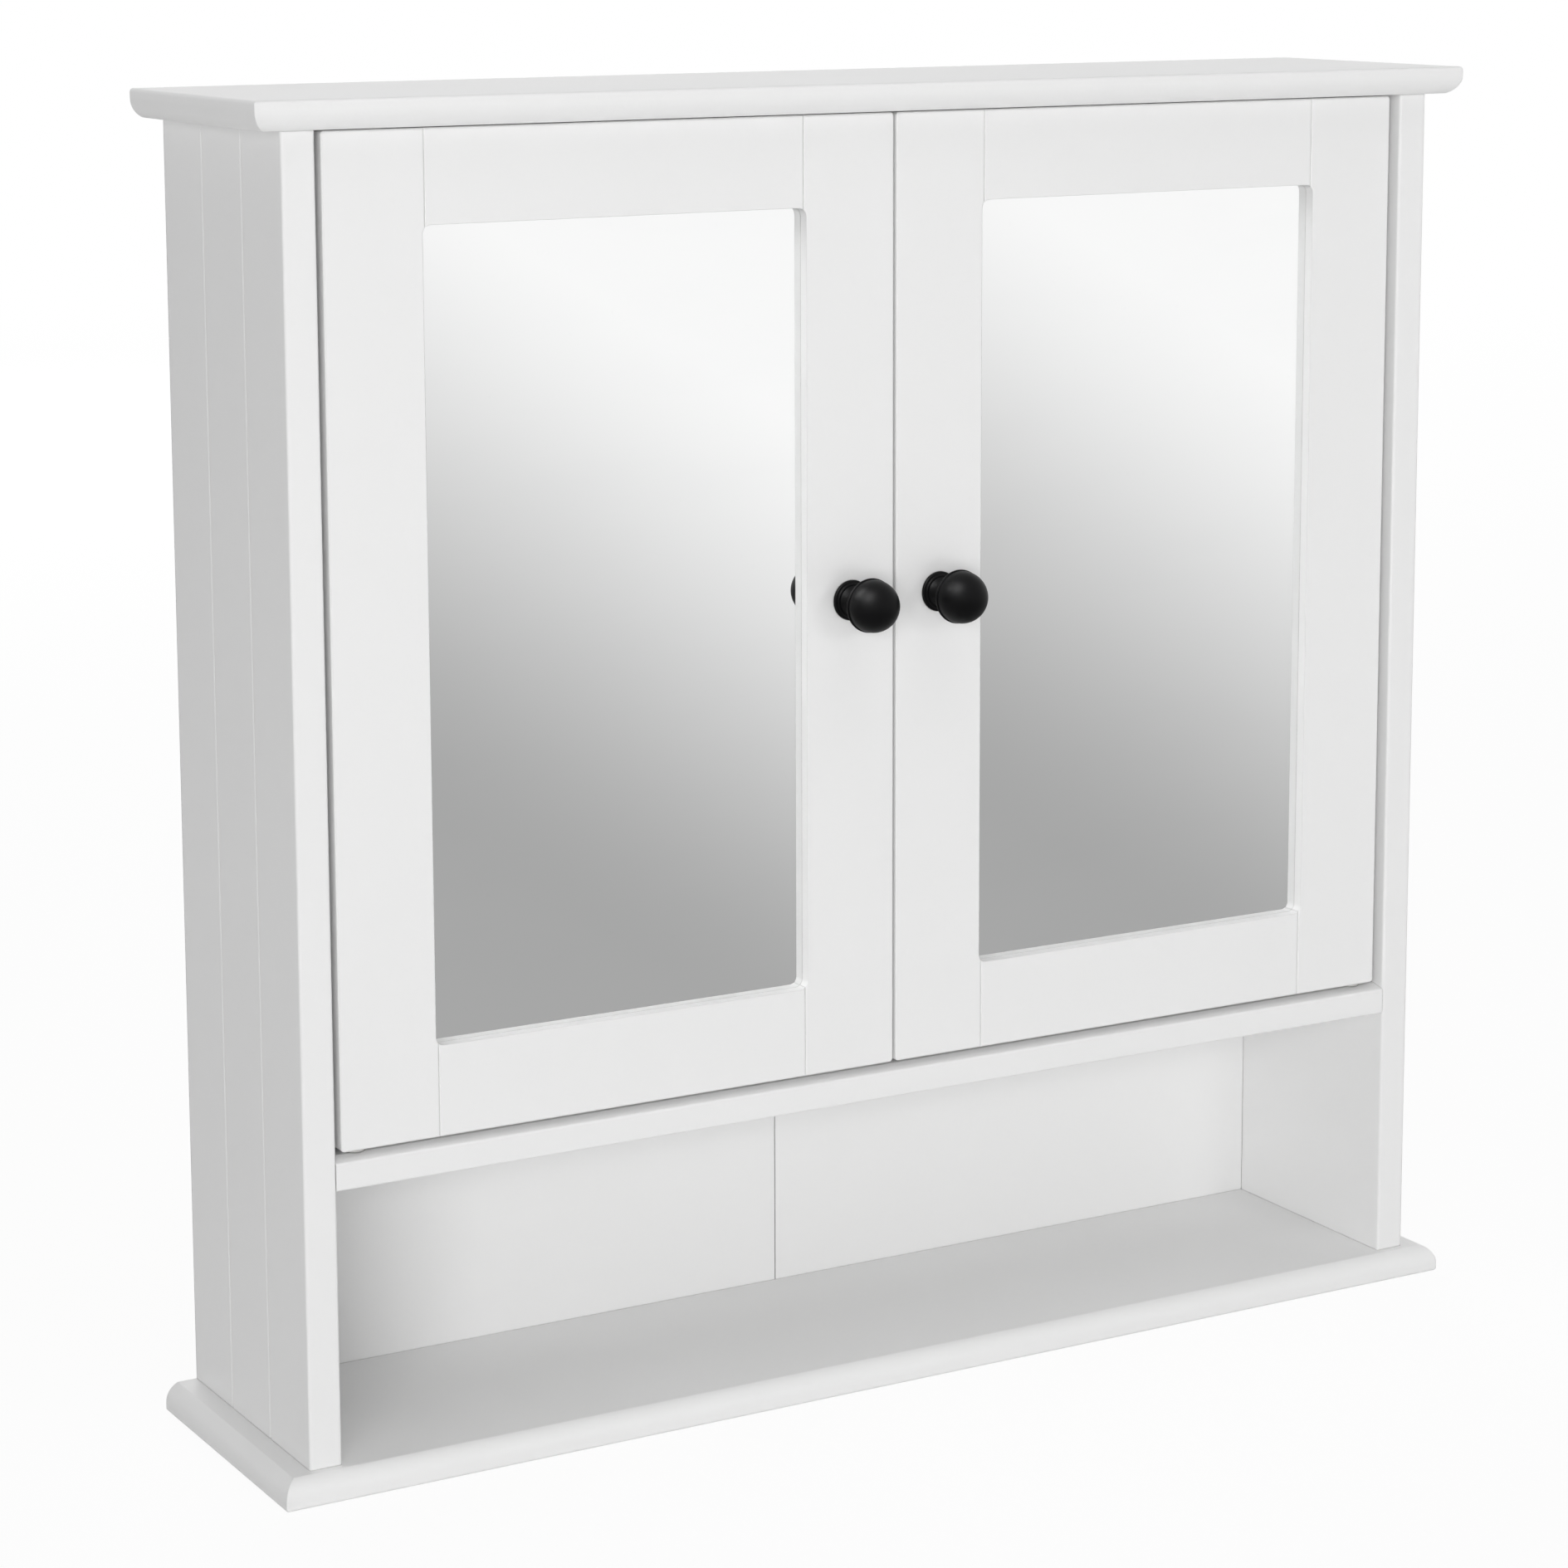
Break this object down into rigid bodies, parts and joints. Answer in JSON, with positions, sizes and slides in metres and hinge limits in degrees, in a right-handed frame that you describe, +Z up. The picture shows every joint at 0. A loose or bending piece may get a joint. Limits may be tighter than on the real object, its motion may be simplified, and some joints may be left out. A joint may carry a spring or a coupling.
{
  "type": "mirror cabinet",
  "caption": "White wall-hung bathroom cabinet with framed mirror doors on pin hinges, black knobs, a moulded crown and base, and an open shelf below.",
  "frame": {"origin": "middle of the two wall screw holes in the hanging rail, on the wall plane", "axes": "+X to the right seen from the front, +Y into the wall, +Z up"},
  "size_m": [0.58, 0.1484, 0.56],
  "materials": {
    "white_paint": "satin white paint on board",
    "mirror": "silvered glass",
    "hardboard": "bare hardboard",
    "black_knob": "satin black",
    "plated_steel": "bright plating",
    "cam_alloy": "grey die-casting",
    "white_plastic": "moulded",
    "magnet": "sintered",
    "beech": "bare wood"
  },
  "bodies": {
    "cabinet": {"crown_board": "white_paint", "base_board": "white_paint", "right_side_panel": "white_paint", "left_side_panel": "white_paint", "fixed_shelf": "white_paint", "right_back_panel": "white_paint", "left_back_panel": "white_paint", "hanging_rail": "white_paint", "loose_shelf": "white_paint", "shelf_pins": "plated_steel", "wood_dowels": "beech", "crown_cam_bolts": "plated_steel", "shelf_cam_bolts": "plated_steel", "crown_cams": "cam_alloy", "shelf_cams": "cam_alloy", "base_screws": "plated_steel", "lower_hinge_bushes": "plated_steel", "upper_hinge_bushes": "plated_steel", "catch_housing": "white_plastic", "catch_magnets": "magnet", "catch_pole_plates": "plated_steel", "catch_screws": "plated_steel"},
    "left_door": {"left_hinge_stile": "white_paint", "left_meeting_stile": "white_paint", "left_top_rail": "white_paint", "left_bottom_rail": "white_paint", "left_mirror_glass": "mirror", "left_mirror_backing": "hardboard", "left_mirror_points": "plated_steel", "left_knob": "black_knob", "left_knob_screw": "plated_steel", "left_lower_hinge_pin": "plated_steel", "left_upper_hinge_pin": "plated_steel", "left_strike_plate": "plated_steel", "left_strike_screw": "plated_steel"},
    "right_door": {"right_hinge_stile": "white_paint", "right_meeting_stile": "white_paint", "right_top_rail": "white_paint", "right_bottom_rail": "white_paint", "right_mirror_glass": "mirror", "right_mirror_backing": "hardboard", "right_mirror_points": "plated_steel", "right_knob": "black_knob", "right_knob_screw": "plated_steel", "right_lower_hinge_pin": "plated_steel", "right_upper_hinge_pin": "plated_steel", "right_strike_plate": "plated_steel", "right_strike_screw": "plated_steel"}
  },
  "joints": [
    {"name": "right_door_swing", "type": "hinge", "parent": "cabinet", "child": "right_door", "pos_m": [0.2499, -0.1114, 0], "axis": [0, 0, 1], "range_deg": [0, 105]},
    {"name": "left_door_swing", "type": "hinge", "parent": "cabinet", "child": "left_door", "pos_m": [-0.2499, -0.1114, 0], "axis": [0, 0, -1], "range_deg": [0, 105]}
  ]
}
